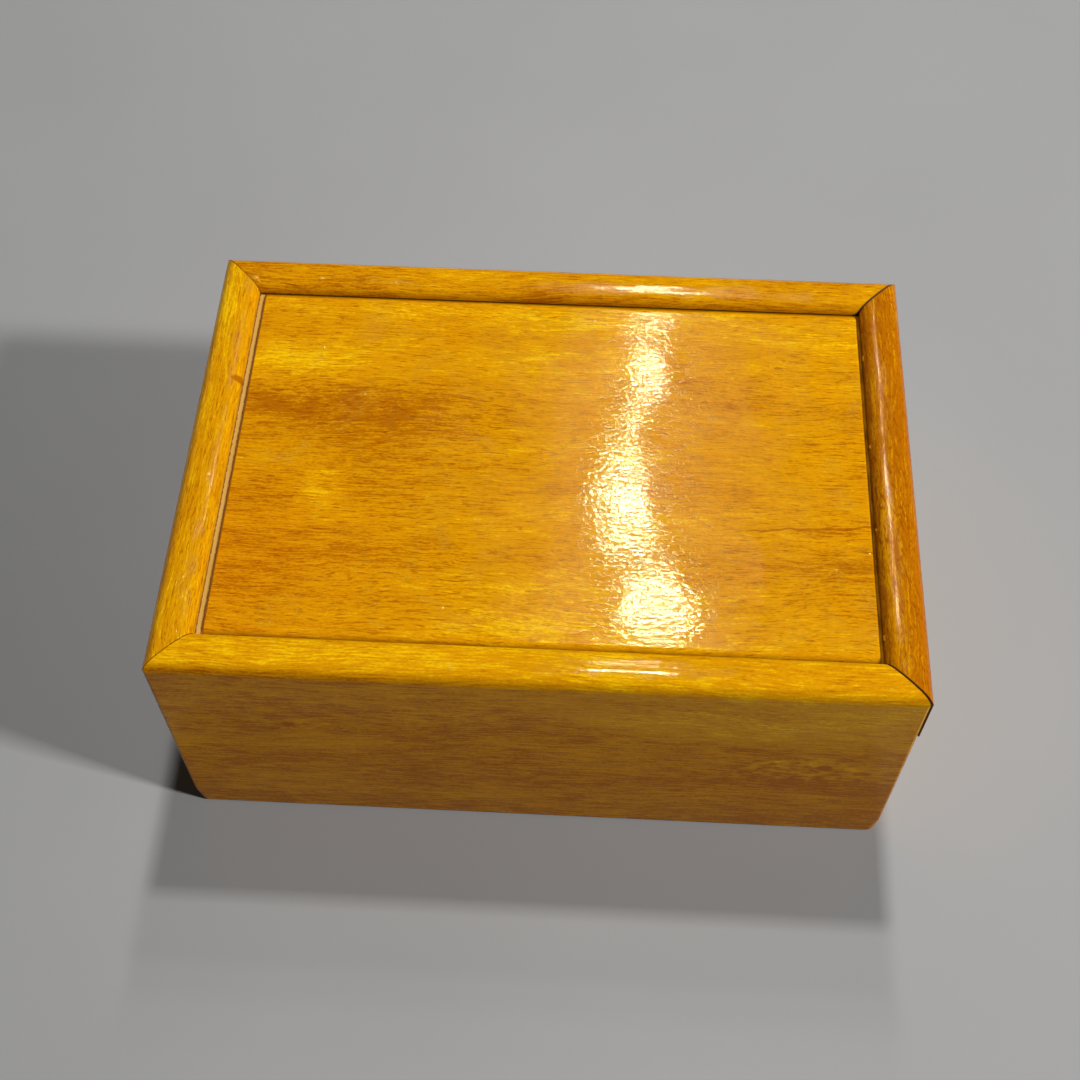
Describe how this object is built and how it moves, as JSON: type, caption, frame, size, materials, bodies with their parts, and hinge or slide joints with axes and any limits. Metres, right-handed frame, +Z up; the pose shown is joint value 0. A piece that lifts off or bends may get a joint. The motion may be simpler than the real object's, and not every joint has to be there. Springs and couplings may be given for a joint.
{
  "type": "sliding-lid puzzle box",
  "caption": "Rectangular varnished wooden trick box with a pillow-shaped rim, a recessed lid that slides out with the top strip of one end, and a hidden pin lock freed by spinning the box.",
  "frame": {"origin": "centre of the box's footprint, on the surface it stands on", "axes": "+X towards the end where the lid slides out, +Y to the rear, +Z up"},
  "size_m": [0.2006, 0.14, 0.084],
  "materials": {
    "varnished_board": "high-gloss honey-orange varnish over fine straight-grained hardwood",
    "varnished_lid": "high-gloss honey-orange varnish over figured hardwood; tongues and underside bare",
    "bare_wood": "bare planed hardwood",
    "joint_wood": "bare hardwood, glued in",
    "steel_pin": "ground steel",
    "brass_screw": "turned brass, lightly tarnished"
  },
  "bodies": {
    "box": {"front_board": "varnished_board", "rear_board": "varnished_board", "left_end_board": "varnished_board", "right_end_board": "varnished_board", "bottom_panel": "bare_wood", "spline_front_left": "joint_wood", "spline_rear_left": "joint_wood", "spline_front_right": "joint_wood", "spline_rear_right": "joint_wood"},
    "lid": {"lid_panel": "varnished_lid", "lid_end_rail": "varnished_lid", "rail_pegs": "joint_wood", "lock_batten": "bare_wood", "batten_screws": "brass_screw"},
    "pin_front": {"lock_pin_front": "steel_pin"},
    "pin_rear": {"lock_pin_rear": "steel_pin"}
  },
  "joints": [
    {"name": "lid_slide", "type": "slide", "parent": "box", "child": "lid", "axis": [1, 0, 0], "range_m": [-0.0005, 0.205]},
    {"name": "pin_front_slide", "type": "slide", "parent": "box", "child": "pin_front", "axis": [0, 1, 0], "range_m": [0, 0.0042]},
    {"name": "pin_rear_slide", "type": "slide", "parent": "box", "child": "pin_rear", "axis": [0, -1, 0], "range_m": [0, 0.0042]}
  ]
}
